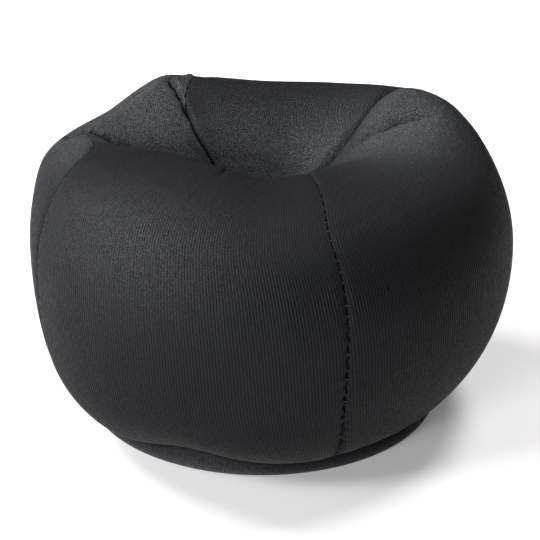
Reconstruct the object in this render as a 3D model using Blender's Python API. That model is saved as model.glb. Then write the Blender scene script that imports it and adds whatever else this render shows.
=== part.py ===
"""Beanbag phone stand: a sewn cover of four gores and a base panel, closed round a stiff
board and a filling of light beads.

The cover is one surface of two parameters. The azimuth runs round the stand, in degrees from
the front (-Y) towards +X. The share runs along a meridian: -1 to 0 is the seam allowance over
the base board, 0 to 1 climbs from the base seam to the widest line, 1 to 2 from there to the
ridge, and 2 to 3 drops from the ridge into the pit that a phone stands in.
All lengths are in metres, Z is up and the origin lies on the floor below the base's centre.
"""
import math

import bmesh
import bpy
import numpy as np

# Driving sizes of the filled cover
body_radius = 0.0593          # at the widest line
body_width_height = 0.042     # height of the widest line
crest_height = 0.0755         # the highest point, at the back left corner
pit_floor_height = 0.032      # where the tips of the gores meet
pit_wall_run = 0.006          # radius at which the pit's wall turns to its floor
pit_eye_radius = 0.003        # the hole that the four tips leave
body_shift = 0.0016           # the filled body leans this far towards +X over its base
pit_shift = 0.002             # the pit lies this far towards the front

# Cloth, board and the clearances of a sewn bag
cloth_thickness = 0.0009
seam_allowance = 0.0045
tip_allowance = 0.0018
sewn_gap = 0.0003             # between two layers that lie on each other
bead_gap = 0.00045            # between the cloth and the filling
board_thickness = 0.0022
base_radius = 0.0443
base_seam_setback = 0.0011    # the base seam lies this far inside the base's rim
seam_dip_depth = 0.0006
seam_dip_width = 0.0028
fold_width = 0.0046
fold_depth = 0.0021

# Angles and counts
pit_floor_slope = 1.25        # rise over run of the pit's wall where it meets its floor
base_seam_angle = 15.0        # degrees above level at which the body leaves the base seam
seam_azimuths = (17.7, 107.7, 197.7, 287.7)
gore_names = ("right_gore", "back_gore", "left_gore", "front_gore")
sharp_angle = 40.0            # degrees between facets from which an edge is shaded sharp
columns_per_gore = 12
rim_steps = 60
rim_arc_steps = 5

# Shares along a meridian at which one form gives way to the next
draw_start_share, draw_end_share = 1.3, 2.05          # the seams are drawn round
dip_grown_share, dip_fading_share, dip_gone_share = 0.2, 2.4, 2.8
allowance_grown_share, allowance_fading_share, allowance_gone_share = 0.3, 2.5, 3.0
turning_share, turned_share = 2.2, 2.6                # the allowances turn down into the pit

# Shares of other sizes, and one power
lower_handle_share, upper_handle_share = 0.7, 0.75    # of the bulges: the curves' handles at the widest line
draw_power = 1.5                                      # the drawing round starts gently
furthest_pull_share = 0.2                             # of a gore's span: how far an inset may pull a column
merge_share = 0.1                                     # of sewn_gap: points closer than this are one
core_reach_share = 0.5                                # of body_radius: the ring that the allowances point to
probe_degrees, probe_share = 0.3, 0.004               # steps over which the cover's directions are taken

# Ridge: azimuth; reach, shoulder and lip as shares of body_radius; height as a share of crest_height
ridge_shares = (
    (0, 0.345, 0.40, 0.13, 0.907),
    (33, 0.405, 0.37, 0.17, 0.927),
    (60, 0.470, 0.32, 0.20, 0.940),
    (90, 0.620, 0.22, 0.25, 0.947),
    (115, 0.705, 0.19, 0.26, 0.968),
    (135, 0.672, 0.21, 0.20, 0.967),
    (155, 0.575, 0.21, 0.14, 0.957),
    (180, 0.490, 0.20, 0.12, 0.960),
    (205, 0.515, 0.20, 0.17, 0.988),
    (220, 0.592, 0.15, 0.20, 1.000),
    (240, 0.645, 0.12, 0.11, 0.938),
    (262, 0.760, 0.16, 0.13, 0.880),
    (270, 0.660, 0.21, 0.14, 0.903),
    (280, 0.523, 0.30, 0.15, 0.927),
    (290, 0.438, 0.37, 0.14, 0.934),
    (312, 0.380, 0.40, 0.13, 0.936),
    (336, 0.345, 0.40, 0.13, 0.921),
)

# Widest line: azimuth; radius, lower bulge and upper bulge as shares of body_radius; base flare and
# height as shares of body_width_height; degrees that the seams are drawn round at the ridge
width_shares = (
    (0, 0.995, 0.48, 0.40, 0.36, 0.976, 14),
    (45, 1.006, 0.54, 0.43, 0.18, 1.000, 16),
    (90, 1.008, 0.60, 0.40, 0.10, 1.024, 18),
    (135, 1.003, 0.48, 0.43, 0.24, 1.000, 18),
    (180, 0.995, 0.48, 0.48, 0.33, 0.976, 16),
    (225, 1.003, 0.43, 0.43, 0.29, 1.024, 12),
    (270, 0.992, 0.30, 0.40, 0.32, 1.048, -14),
    (315, 1.003, 0.43, 0.40, 0.34, 1.000, 3),
)

# Folds that the pull of the pit makes: azimuth at the outer and at the inner end, the shares where the
# fold starts, is deepest, starts to fade and ends, then width and depth as shares of fold_width and
# fold_depth. The first two run in seams.
fold_shares = (
    (197.7, 197.7, 1.80, 2.10, 2.40, 2.75, 1.10, 1.00),
    (107.7, 107.7, 1.80, 2.10, 2.40, 2.75, 1.20, 0.90),
    (272.0, 270.0, 1.65, 1.92, 2.10, 2.40, 1.00, 0.80),
    (80.0, 88.0, 1.55, 1.98, 2.30, 2.65, 1.10, 0.55),
)

# Where the rows of facets lie along a meridian, closest together at the ridge
row_shares = (-1.0, 0.0, 0.12, 0.34, 0.62, 1.0, 1.28, 1.52, 1.70, 1.84, 1.94,
              2.02, 2.09, 2.18, 2.30, 2.46, 2.66, 2.84, 3.0)

# Heights of the layers over the floor, worked out from the cloth and the board
board_floor = cloth_thickness + sewn_gap
board_top = board_floor + board_thickness
rim_top = board_top + sewn_gap + cloth_thickness
base_seam_height = rim_top + sewn_gap
base_seam_radius = base_radius - base_seam_setback
core_reach = body_radius * core_reach_share


def smooth(u):
    """An S-shaped step: 0 up to u = 0, 3u^2 - 2u^3 between, 1 from u = 1."""
    u = np.clip(u, 0, 1)
    return u * u * (3 - 2 * u)


def around(azimuth, stations, column):
    """Read one column of a table of stations at any azimuth.

    A cubic runs between neighbouring stations, and its slope at each station is that of the line
    from the station before to the one after, so the value closes on itself round the stand.
    """
    angle = np.array([row[0] for row in stations], float)
    value = np.array([row[column] for row in stations], float)
    before, after = np.roll(angle, 1), np.roll(angle, -1)
    before[0] -= 360
    after[-1] += 360
    slope = (np.roll(value, -1) - np.roll(value, 1)) / (after - before)
    azimuth = np.mod(azimuth, 360)
    here = np.searchsorted(angle, azimuth, side="right") - 1
    there = (here + 1) % len(angle)
    step = after[here] - angle[here]
    u = (azimuth - angle[here]) / step
    return ((2 * u ** 3 - 3 * u ** 2 + 1) * value[here] + (u ** 3 - 2 * u ** 2 + u) * step * slope[here]
            + (3 * u ** 2 - 2 * u ** 3) * value[there] + (u ** 3 - u ** 2) * step * slope[there])


def bezier(first, second, third, fourth, u):
    """A cubic Bezier curve of one coordinate."""
    v = 1 - u
    return v ** 3 * first + 3 * v * v * u * second + 3 * v * u * u * third + u ** 3 * fourth


def meridian(azimuth, share):
    """Radius and height of the smooth cover: a flat strip and then three Bezier curves.

    They meet at the base seam, the widest line and the ridge, where their handles lie in one line.
    """
    width = body_radius * around(azimuth, width_shares, 1)
    lower_bulge = body_radius * around(azimuth, width_shares, 2)
    upper_bulge = body_radius * around(azimuth, width_shares, 3)
    flare = body_width_height * around(azimuth, width_shares, 4)
    width_height = body_width_height * around(azimuth, width_shares, 5)
    wound = azimuth + around(azimuth, width_shares, 6)
    reach = body_radius * around(wound, ridge_shares, 1)
    shoulder = body_radius * around(wound, ridge_shares, 2)
    lip = body_radius * around(wound, ridge_shares, 3)
    ridge_height = crest_height * around(wound, ridge_shares, 4)
    leave = math.radians(base_seam_angle)

    strip = np.clip(-share, 0, 1)
    low, high, pit = (np.clip(share - start, 0, 1) for start in range(3))
    radius = np.where(
        share < 0, base_seam_radius - seam_allowance * strip,
        np.where(share < 1, bezier(base_seam_radius, base_seam_radius + flare * math.cos(leave), width, width, low),
                 np.where(share < 2, bezier(width, width, reach + shoulder, reach, high),
                          bezier(reach, reach - lip, pit_eye_radius + pit_wall_run, pit_eye_radius, pit))))
    height = np.where(
        share < 1, bezier(base_seam_height, base_seam_height + flare * math.sin(leave),
                          width_height - lower_bulge * lower_handle_share, width_height, low),
        np.where(share < 2, bezier(width_height, width_height + upper_bulge * upper_handle_share,
                                   ridge_height, ridge_height, high),
                 bezier(ridge_height, ridge_height, pit_floor_height + pit_floor_slope * pit_wall_run,
                        pit_floor_height, pit)))
    return radius, height


def smooth_cover(azimuth, share):
    """Points of the cover without its seams and folds."""
    radius, height = meridian(azimuth, share)
    drawing = smooth((share - draw_start_share) / (draw_end_share - draw_start_share)) ** draw_power
    angle = np.radians(azimuth + drawing * around(azimuth, width_shares, 6))
    leaning = smooth(share)
    in_pit = smooth((share - 1) / 2)
    x = body_shift * leaning * (1 - in_pit) + radius * np.sin(angle)
    y = -pit_shift * in_pit - radius * np.cos(angle)
    return np.stack([x, y, height], axis=-1)


def unit(vectors):
    """Vectors of length one."""
    return vectors / np.linalg.norm(vectors, axis=-1, keepdims=True)


def cover_steps(azimuth, share):
    """How the cover runs: its step per degree round the stand, and the direction of its meridian."""
    below, above = np.maximum(share - probe_share, -1), np.minimum(share + probe_share, 3)
    round_step = (smooth_cover(azimuth + probe_degrees, share)
                  - smooth_cover(azimuth - probe_degrees, share)) / (2 * probe_degrees)
    return round_step, unit(smooth_cover(azimuth, above) - smooth_cover(azimuth, below))


def cover_normal(azimuth, share):
    """Outward normal: the cross product of the steps round the stand and along the meridian."""
    return unit(np.cross(*cover_steps(azimuth, share)))


def square_step(azimuth, share):
    """Length per degree, measured on the cover square to a line of constant azimuth."""
    round_step, climb = cover_steps(azimuth, share)
    along = (round_step * climb).sum(axis=-1, keepdims=True) * climb
    return np.linalg.norm(round_step - along, axis=-1)


def across(azimuth, line_azimuth, share):
    """Distance along the cover from a line of constant azimuth."""
    turn = np.mod(azimuth - line_azimuth + 180, 360) - 180
    return np.abs(turn) * square_step(line_azimuth + 0 * azimuth, share)


def valley(distance, width, depth):
    """A V with hollow sides: deepest on its line, level again one width away."""
    return depth * np.clip(1 - distance / width, 0, 1) ** 2


def dip(azimuth, share):
    """How far the seams and folds lie below the smooth cover."""
    fading = (share - dip_fading_share) / (dip_gone_share - dip_fading_share)
    body = smooth(share / dip_grown_share) * (1 - smooth(fading))
    depth = np.zeros(np.broadcast(azimuth, share).shape)
    for seam in seam_azimuths:
        depth += body * valley(across(azimuth, seam, share), seam_dip_width, seam_dip_depth)
    for outer, inner, start, full, easing, end, width_share, depth_share in fold_shares:
        line = outer + (inner - outer) * np.clip((share - start) / (end - start), 0, 1)
        drawn_in = smooth((share - start) / (full - start)) * (1 - smooth((share - easing) / (end - easing)))
        depth += drawn_in * valley(across(azimuth, line, share), fold_width * width_share,
                                   fold_depth * depth_share)
    return depth


def columns(gore, inset):
    """Azimuths of one gore's columns, from seam to seam, both ends drawn in by a length, and their shares.

    The inset fades with the cube of the distance from the gore's middle, so that layers of unlike
    inset keep the same columns away from the seams.
    """
    start, span = seam_azimuths[gore], 360 / len(seam_azimuths)
    share = np.array(row_shares)[:, None]
    step = np.linspace(0, 1, columns_per_gore + 1)[None, :]
    most = span * furthest_pull_share
    pull_first, pull_last = (most * (1 - np.exp(-inset / square_step(np.full_like(share, seam), share) / most))
                             for seam in (start, start + span))
    pull = np.where(step < 0.5, pull_first, pull_last)
    return start + span * step + pull * (1 - 2 * step) ** 3, share + 0 * step


def layer(gore, inset, depth):
    """A layer of one gore that lies a depth below the outer face, from seam to seam."""
    face_azimuth, share = columns(gore, sewn_gap / 2)
    azimuth = columns(gore, inset)[0]
    below = dip(face_azimuth, share) + depth
    return smooth_cover(azimuth, share) - cover_normal(azimuth, share) * below[..., None]


def allowance_edge(gore, side, inset, extra):
    """The free edge of the seam allowance, on the first (0) or last (-1) column of a gore.

    It stands square to the cover across the seam and points to a ring in the middle of the
    filling, so that it never crosses itself where the cover turns sharply over the ridge.
    """
    seam_line = layer(gore, inset, 0)[:, side]
    core = core_reach * unit(seam_line * (1, 1, 0))
    core[:, 2] = body_width_height
    share = np.array(row_shares)
    round_step, climb = cover_steps(columns(gore, inset)[0][:, side], share)
    sideways = unit(round_step - (round_step * climb).sum(axis=-1, keepdims=True) * climb)
    inwards = unit(core - seam_line)
    inwards -= (inwards * sideways).sum(axis=-1, keepdims=True) * sideways
    down_pit = smooth((share - turning_share) / (turned_share - turning_share))[:, None]
    inwards = (1 - down_pit) * unit(inwards) - down_pit * unit(np.cross(round_step, climb))
    fading = (share - allowance_fading_share) / (allowance_gone_share - allowance_fading_share)
    grown = smooth(share / allowance_grown_share) * (1 - smooth(fading))
    width = tip_allowance + (seam_allowance - tip_allowance) * grown + extra
    return seam_line + unit(inwards) * width[:, None]


def put_in_scene(name, mesh, material):
    """Link a mesh as a named object, with its faces pointing out and its curves shaded smooth."""
    shape = bmesh.new()
    shape.from_mesh(mesh)
    bmesh.ops.recalc_face_normals(shape, faces=shape.faces)
    shape.to_mesh(mesh)
    shape.free()
    mesh.shade_smooth()
    mesh.set_sharp_from_angle(angle=math.radians(sharp_angle))
    mesh.materials.append(material)
    piece = bpy.data.objects.new(name, mesh)
    bpy.context.scene.collection.objects.link(piece)
    return piece


def make_material(name, colour, roughness):
    """A Principled material of one colour."""
    material = bpy.data.materials.new(name)
    material.use_nodes = True
    shader = material.node_tree.nodes["Principled BSDF"]
    shader.inputs["Base Color"].default_value = (*colour, 1)
    shader.inputs["Roughness"].default_value = roughness
    shader.inputs["Metallic"].default_value = 0
    return material


def ring_faces(rows, ring, turned_from):
    """Triangles between neighbouring rings of points.

    From the point turned_from on, a ring runs against the cover's columns, so the diagonals turn
    with it: layers that lie on each other are then split alike and never cross.
    """
    faces = []
    for row in range(rows - 1):
        for here in range(ring):
            low, low_next = row * ring + here, row * ring + (here + 1) % ring
            high, high_next = low + ring, low_next + ring
            if here < turned_from:
                faces += [(low, low_next, high_next), (low, high_next, high)]
            else:
                faces += [(low, low_next, high), (low_next, high_next, high)]
    return faces


def make_gore(gore, material):
    """One panel of the cover: an outer and an inner layer, joined round both seam allowances."""
    inner_inset = sewn_gap / 2 + cloth_thickness
    outer = layer(gore, sewn_gap / 2, 0)
    inner = layer(gore, inner_inset, cloth_thickness)
    edges = {(side, inset): allowance_edge(gore, side, inset, 0)[:, None]
             for side in (0, -1) for inset in (sewn_gap / 2, inner_inset)}
    ring = np.concatenate([outer, edges[-1, sewn_gap / 2], edges[-1, inner_inset], inner[:, ::-1],
                           edges[0, inner_inset], edges[0, sewn_gap / 2]], axis=1)
    rows, count = ring.shape[:2]
    wide = columns_per_gore + 1
    faces = ring_faces(rows, count, turned_from=wide + 1)
    for row in (0, rows - 1):
        first = row * count
        across_wall = [first + wide + 2 + columns_per_gore - step for step in range(wide)]
        faces += [(first + step, first + step + 1, across_wall[step + 1], across_wall[step])
                  for step in range(columns_per_gore)]
        faces.append((first + wide - 1, first + wide, first + wide + 1, across_wall[-1]))
        faces.append((first, across_wall[0], first + count - 2, first + count - 1))
    mesh = bpy.data.meshes.new(gore_names[gore])
    mesh.from_pydata(ring.reshape(-1, 3).tolist(), [], faces)
    return put_in_scene(gore_names[gore], mesh, material)


def make_fill(material):
    """The beads as one lump: the cover's inside less a gap, grooved for the seam allowances.

    Its floor drops from the allowances of the base seam to the board.
    """
    inset = sewn_gap / 2 + cloth_thickness + bead_gap
    depth = cloth_thickness + bead_gap
    sectors = []
    for gore in range(len(seam_azimuths)):
        sectors += [allowance_edge(gore, 0, inset, bead_gap)[:, None], layer(gore, inset, depth),
                    allowance_edge(gore, -1, inset, bead_gap)[:, None]]
    ring = np.concatenate(sectors, axis=1)
    ring[0] -= bead_gap * unit(ring[0] * (1, 1, 0))
    floor = ring[0] * (1, 1, 0)
    floor[:, 2] = board_top + bead_gap
    ring = np.concatenate([floor[None], ring])
    rows, count = ring.shape[:2]
    pole_low = (0, 0, board_top + bead_gap)
    pole_high = (0, -pit_shift, pit_floor_height - 2 * tip_allowance)
    faces = ring_faces(rows, count, turned_from=count)
    for row, pole in ((0, rows * count), (rows - 1, rows * count + 1)):
        faces += [(row * count + here, row * count + (here + 1) % count, pole) for here in range(count)]
    mesh = bpy.data.meshes.new("bead_fill")
    mesh.from_pydata(ring.reshape(-1, 3).tolist() + [pole_low, pole_high], [], faces)
    return put_in_scene("bead_fill", mesh, material)


def rim_arc(radius, centre_radius, centre_height):
    """Half a circle that bulges outwards, from its lowest to its highest point."""
    turns = [math.pi * (step / rim_arc_steps - 0.5) for step in range(rim_arc_steps + 1)]
    return [(centre_radius + radius * math.cos(turn), centre_height + radius * math.sin(turn)) for turn in turns]


def turned(name, profile, material):
    """A body turned about Z from a profile of (radius, height) points that starts and ends on the axis
    or closes on itself."""
    shape = bmesh.new()
    corners = [shape.verts.new((radius, 0, height)) for radius, height in profile]
    edges = [shape.edges.new(pair) for pair in zip(corners, corners[1:])]
    bmesh.ops.spin(shape, geom=corners + edges, cent=(0, 0, 0), axis=(0, 0, 1),
                   angle=2 * math.pi, steps=rim_steps, use_duplicate=False)
    bmesh.ops.remove_doubles(shape, verts=shape.verts, dist=sewn_gap * merge_share)
    mesh = bpy.data.meshes.new(name)
    shape.to_mesh(mesh)
    shape.free()
    return put_in_scene(name, mesh, material)


def make_base_panel(material):
    """The round bottom panel, wrapped over the board's edge, its allowance turned in above it."""
    roll = rim_top / 2
    centre_radius = base_radius - roll
    allowance_end = base_seam_radius - seam_allowance
    profile = [(0, 0)] + rim_arc(roll, centre_radius, roll) + [(allowance_end, rim_top)]
    profile += [(allowance_end, rim_top - cloth_thickness)]
    profile += rim_arc(roll - cloth_thickness, centre_radius, roll)[::-1] + [(0, cloth_thickness)]
    return turned("base_panel", profile, material)


def make_board(material):
    """The stiff round board that keeps the base flat, its edge rounded so that it can't cut the cloth."""
    edge = board_thickness / 2
    middle = board_floor + edge
    centre_radius = base_radius - cloth_thickness - sewn_gap - edge
    profile = [(0, board_floor)] + rim_arc(edge, centre_radius, middle) + [(0, board_top)]
    return turned("base_board", profile, material)


def clear_scene():
    """Remove whatever the file holds."""
    for piece in list(bpy.data.objects):
        bpy.data.objects.remove(piece, do_unlink=True)


def build():
    """Make every piece of the stand."""
    clear_scene()
    knit = make_material("black_rib_knit", (0.012, 0.012, 0.013), 0.85)
    greyboard = make_material("grey_board", (0.34, 0.31, 0.27), 0.8)
    beads = make_material("white_beads", (0.86, 0.86, 0.84), 0.7)
    for gore in range(len(seam_azimuths)):
        make_gore(gore, knit)
    make_base_panel(knit)
    make_board(greyboard)
    make_fill(beads)


build()
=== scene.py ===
# %% [markdown]
# # Beanbag phone stand: the looks
#
# The stand is a bag of four gores in black rib knit, sewn to a round, stiff base. The bag is
# filled with light beads, and its four top points are pulled down inside, which makes the pit
# that a phone leans in. The solid frame of the stand is loaded first. Everything that shows is
# then modelled round it in the same place, from formulas worked out with numpy.

# %% Load the frame
import math

import bpy
import numpy as np
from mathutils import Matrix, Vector


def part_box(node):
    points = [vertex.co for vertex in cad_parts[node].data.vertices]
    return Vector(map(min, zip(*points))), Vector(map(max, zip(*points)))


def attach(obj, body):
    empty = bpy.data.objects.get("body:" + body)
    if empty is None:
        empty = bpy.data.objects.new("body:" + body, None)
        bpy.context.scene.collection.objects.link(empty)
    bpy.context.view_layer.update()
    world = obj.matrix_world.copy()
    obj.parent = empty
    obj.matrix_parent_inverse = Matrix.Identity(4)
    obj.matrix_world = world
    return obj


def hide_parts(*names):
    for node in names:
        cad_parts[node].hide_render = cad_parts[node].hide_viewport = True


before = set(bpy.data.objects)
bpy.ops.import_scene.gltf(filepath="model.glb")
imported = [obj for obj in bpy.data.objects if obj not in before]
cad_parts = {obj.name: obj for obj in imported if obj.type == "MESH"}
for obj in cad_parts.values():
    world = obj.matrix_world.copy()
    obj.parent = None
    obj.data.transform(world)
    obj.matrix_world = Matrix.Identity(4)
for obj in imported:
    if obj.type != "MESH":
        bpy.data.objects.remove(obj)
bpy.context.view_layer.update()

# %% [markdown]
# ## Sizes
#
# The overall sizes are read from the frame, so the looks follow it when it is resized. What the
# frame doesn't hold, such as the pitch of the ribs or the length of a stitch, is named here.
# The rib pitch was measured on the photograph, at the widest line.

# %% Sizes from the frame, and the sizes of cloth and thread
gore_names = ("right_gore", "back_gore", "left_gore", "front_gore")
bag_low = np.min([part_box(name)[0] for name in gore_names], axis=0)
bag_high = np.max([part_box(name)[1] for name in gore_names], axis=0)
base_low, base_high = (np.array(corner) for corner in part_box("base_panel"))
board_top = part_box("base_board")[1][2]

body_radius = (bag_high[0] - bag_low[0]) / 2
crest_height = bag_high[2]
base_radius = (base_high[0] - base_low[0]) / 2
rim_top = base_high[2]
body_width_height = 0.557 * crest_height   # height of the widest line
pit_floor_height = 0.42 * crest_height     # where the tips of the gores meet
body_shift = (bag_high[0] + bag_low[0]) / 2
pit_shift = 0.002                          # the pit lies this far towards the front
pit_wall_run = 0.0055                      # radius at which the pit's wall turns to its floor
pit_throat_height = 0.66 * crest_height    # down to here the pit's sides slope, below they drop
pit_eye_radius = 0.0007                    # what the four tips leave open below their tack
cloth_thickness = 0.0009
bead_gap = 0.0008                          # between the cloth and the filling
seam_allowance = 0.0038
base_seam_setback = 0.0011
dip_depth, dip_width = 0.00075, 0.0026     # of the cloth at a seam
puckers_per_share = 17                     # along a seam, between base and widest line
rib_pitch = 0.000777                       # at the widest line, where the knit is stretched most
rest_pitch = 0.00042                       # where it isn't stretched at all
rib_height = 0.00018
course_pitch = 0.00075                     # height of one row of knitted loops
stitch_length = 0.0027
thread_radius = 0.00016
base_seam_radius = base_radius - base_seam_setback
sewn_gap = 0.0003                          # between layers that are sewn to each other
base_allowance = 0.004                     # of the base panel, turned in over the board
base_seam_height = rim_top + sewn_gap
base_seam_angle = 15.0                     # degrees above level at which the body leaves the base seam
seam_azimuths = (17.7, 107.7, 197.7, 287.7)
seam_ends = (2.4, 1.75, 1.75, 1.30)        # share up to which a seam shows as a puckered line
print(f"bag {2000 * body_radius:.1f} mm wide and {1000 * crest_height:.1f} mm high,",
      f"base {2000 * base_radius:.1f} mm across,",
      f"{2 * math.pi * body_radius / rib_pitch:.0f} ribs round the bag")

# %% [markdown]
# ## The form of the bag
#
# Seen from above, the bag is a ring: low at the front, with a high wing at each side and a high
# back. A lathe would make it too regular. Here a few stations round the stand hold the reach and
# the height of the ridge, and a smooth curve runs through them. That is easy to read off a
# photograph and easy to change.

# %% Stations round the ridge and round the widest line
# Ridge: azimuth; reach, shoulder and lip as shares of body_radius; height as a share of crest_height;
# fall of the lip as a share of its length; crown, how far the shoulder's handle stands above the
# ridge, as a share of crest_height
ridge_shares = (
    (0, 0.345, 0.40, 0.13, 0.907, 0.0, 0.0),
    (33, 0.405, 0.37, 0.20, 0.925, 0.04, 0.010),
    (60, 0.470, 0.32, 0.30, 0.932, 0.14, 0.035),
    (90, 0.620, 0.22, 0.36, 0.935, 0.18, 0.031),
    (115, 0.700, 0.18, 0.32, 0.982, 0.20, 0.020),
    (135, 0.672, 0.19, 0.29, 0.960, 0.35, 0.0),
    (155, 0.575, 0.18, 0.25, 0.951, 0.48, 0.0),
    (180, 0.490, 0.18, 0.24, 0.960, 0.55, 0.0),
    (205, 0.515, 0.17, 0.24, 0.992, 0.55, 0.0),
    (216, 0.570, 0.11, 0.29, 1.008, 0.55, 0.0),
    (224, 0.606, 0.09, 0.31, 1.014, 0.54, 0.0),
    (240, 0.652, 0.08, 0.33, 0.948, 0.50, 0.0),
    (262, 0.768, 0.15, 0.30, 0.896, 0.26, 0.0),
    (270, 0.662, 0.22, 0.20, 0.903, 0.10, 0.0),
    (280, 0.523, 0.30, 0.15, 0.925, 0.0, 0.0),
    (290, 0.438, 0.37, 0.14, 0.933, 0.0, 0.0),
    (312, 0.380, 0.40, 0.13, 0.936, 0.0, 0.0),
    (336, 0.345, 0.40, 0.13, 0.921, 0.0, 0.0),
)
# Widest line: azimuth; radius, lower bulge and upper bulge as shares of body_radius; base flare and
# height as shares of body_width_height
width_shares = (
    (0, 0.995, 0.48, 0.40, 0.36, 0.976),
    (45, 1.006, 0.56, 0.43, 0.13, 1.000),
    (90, 1.012, 0.64, 0.38, 0.05, 1.024),
    (135, 1.003, 0.48, 0.43, 0.24, 1.000),
    (180, 0.995, 0.48, 0.48, 0.33, 0.976),
    (225, 1.003, 0.43, 0.43, 0.29, 1.024),
    (270, 1.002, 0.30, 0.42, 0.28, 1.048),
    (315, 1.003, 0.43, 0.40, 0.38, 1.000),
)
# Twist of the cloth: azimuth; degrees that it is drawn round at the base, on the shoulder, at the
# ridge and in the pit
twist_degrees = (
    (17.7, 4, -0.5, 12, 14),
    (62.7, 2, 2, 20, 21),
    (107.7, 0, 3, 22, 16),
    (152.7, 0, 1, 20, 31),
    (197.7, 0, 0, 20.5, 32),
    (242.7, 0, -5, -6, 3),
    (287.7, 0, -7, -25, -26),
    (332.7, 2, -2, -4, -4),
)
draw_start, draw_end, draw_power = 1.48, 2.2, 1.25
# Where the base seam is hitched up or sags: azimuth, spread in degrees, height in mm
hitches = ((339.0, 13.0, 2.4), (12.0, 14.0, -0.8), (314.0, 10.0, -0.6))
print(len(ridge_shares), "stations on the ridge,", len(width_shares), "on the widest line")

# %% [markdown]
# ## Between the stations
#
# The form must be read at any angle, not only at its stations. Straight lines between them would
# leave creases in the cloth, so a cubic joins them, and all fades are S-shaped steps.


# %% Helpers that blend numbers
def smooth(u):
    """An S-shaped step: 0 up to u = 0, 3u^2 - 2u^3 between, 1 from u = 1."""
    u = np.clip(u, 0, 1)
    return u * u * (3 - 2 * u)


def unit(vectors):
    """Vectors of length one: each divided by the root of the sum of its squares."""
    return vectors / np.linalg.norm(vectors, axis=-1, keepdims=True)


def around(azimuth, stations, column):
    """Read one column of a table of stations at any azimuth.

    Between two stations runs a cubic. Its slope at a station is that of the line from the station
    before to the one after, so the value has no kink and closes on itself round the stand.
    """
    angle = np.array([row[0] for row in stations], float)
    value = np.array([row[column] for row in stations], float)
    before, after = np.roll(angle, 1), np.roll(angle, -1)
    before[0] -= 360
    after[-1] += 360
    slope = (np.roll(value, -1) - np.roll(value, 1)) / (after - before)
    azimuth = np.mod(azimuth, 360)
    here = np.searchsorted(angle, azimuth, side="right") - 1
    there = (here + 1) % len(angle)
    step = after[here] - angle[here]
    u = np.mod(azimuth - angle[here], 360) / step
    return ((2 * u ** 3 - 3 * u ** 2 + 1) * value[here] + (u ** 3 - 2 * u ** 2 + u) * step * slope[here]
            + (3 * u ** 2 - 2 * u ** 3) * value[there] + (u ** 3 - u ** 2) * step * slope[there])


def bezier(first, second, third, fourth, u):
    """A cubic Bezier curve of one coordinate: its four points weighted by powers of u and 1 - u."""
    v = 1 - u
    return v ** 3 * first + 3 * v * v * u * second + 3 * v * u * u * third + u ** 3 * fourth


print("smooth(0.25) =", float(smooth(0.25)))

# %% [markdown]
# ## One surface for the whole cover
#
# Every point of the cover has two numbers: its azimuth round the stand, in degrees from the
# front (-Y) towards +X, and its share of the way up a meridian. Share -1 to 0 is the strip sewn
# in at the base, 0 to 1 climbs to the widest line, 1 to 2 climbs to the ridge and 2 to 3 drops
# into the pit. Each stretch of a meridian is one Bezier curve, and they join without a kink.


# %% The plain cover, without folds and ribs
def twist(azimuth, share):
    """Degrees that the cloth is drawn round: the base's value fades out below the widest line, the
    shoulder's and the ridge's come in one after the other, and then the pit's takes over."""
    at_base, on_shoulder, at_ridge, in_pit = (around(azimuth, twist_degrees, column)
                                              for column in (1, 2, 3, 4))
    shoulder_part = smooth((share - 1.2) / 0.5)
    ridge_part = smooth((share - draw_start) / (draw_end - draw_start)) ** draw_power
    pit_part = smooth((share - 1.95) / 0.35)
    return (at_base * (1 - smooth(share / 0.8)) + on_shoulder * shoulder_part
            + (at_ridge - on_shoulder) * ridge_part + (in_pit - at_ridge) * pit_part)


def azimuth_there(angle, share):
    """Azimuth on the cloth that the twist brings to an angle round the stand, read off a fine row."""
    azimuth = np.arange(-90.0, 451.0, 0.5)
    return float(np.interp(angle, azimuth + twist(azimuth, np.full_like(azimuth, share)), azimuth))


def seam_lift(angle):
    """Height of the base seam above its level: each hitch adds its height times e to the minus
    squared distance from its azimuth over its spread."""
    lift = np.zeros_like(angle)
    for middle, spread, height in hitches:
        lift = lift + height / 1000 * np.exp(-((np.mod(angle - middle + 180, 360) - 180) / spread) ** 2)
    return lift


def meridian(angle, share):
    """Radius and height: a flat strip, then three Bezier curves whose handles lie in one line
    where they meet, at the base seam, the widest line and the ridge."""
    width, lower, upper = (body_radius * around(angle, width_shares, column) for column in (1, 2, 3))
    flare, width_height = (body_width_height * around(angle, width_shares, column) for column in (4, 5))
    reach, shoulder, lip = (body_radius * around(angle, ridge_shares, column) for column in (1, 2, 3))
    lip_height = crest_height * around(angle, ridge_shares, 4) - lip * around(angle, ridge_shares, 5)
    ridge_height = crest_height * around(angle, ridge_shares, 4)
    crown_height = ridge_height + crest_height * around(angle, ridge_shares, 6)
    leave = math.radians(base_seam_angle)
    seam_height = base_seam_height + seam_lift(angle)
    low, high, pit = (np.clip(share - start, 0, 1) for start in range(3))
    radius = np.where(
        share < 0, base_seam_radius + seam_allowance * np.clip(share, -1, 0),
        np.where(share < 1, bezier(base_seam_radius, base_seam_radius + flare * math.cos(leave),
                                   width, width, low),
                 np.where(share < 2, bezier(width, width, reach + shoulder, reach, high),
                          bezier(reach, reach - lip, pit_eye_radius + pit_wall_run, pit_eye_radius, pit))))
    height = np.where(
        share < 1, bezier(seam_height, seam_height + flare * math.sin(leave),
                          width_height - 0.7 * lower, width_height, low),
        np.where(share < 2, bezier(width_height, width_height + 0.75 * upper,
                                   crown_height, ridge_height, high),
                 bezier(ridge_height, lip_height, pit_throat_height, pit_floor_height, pit)))
    return radius, height


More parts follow.
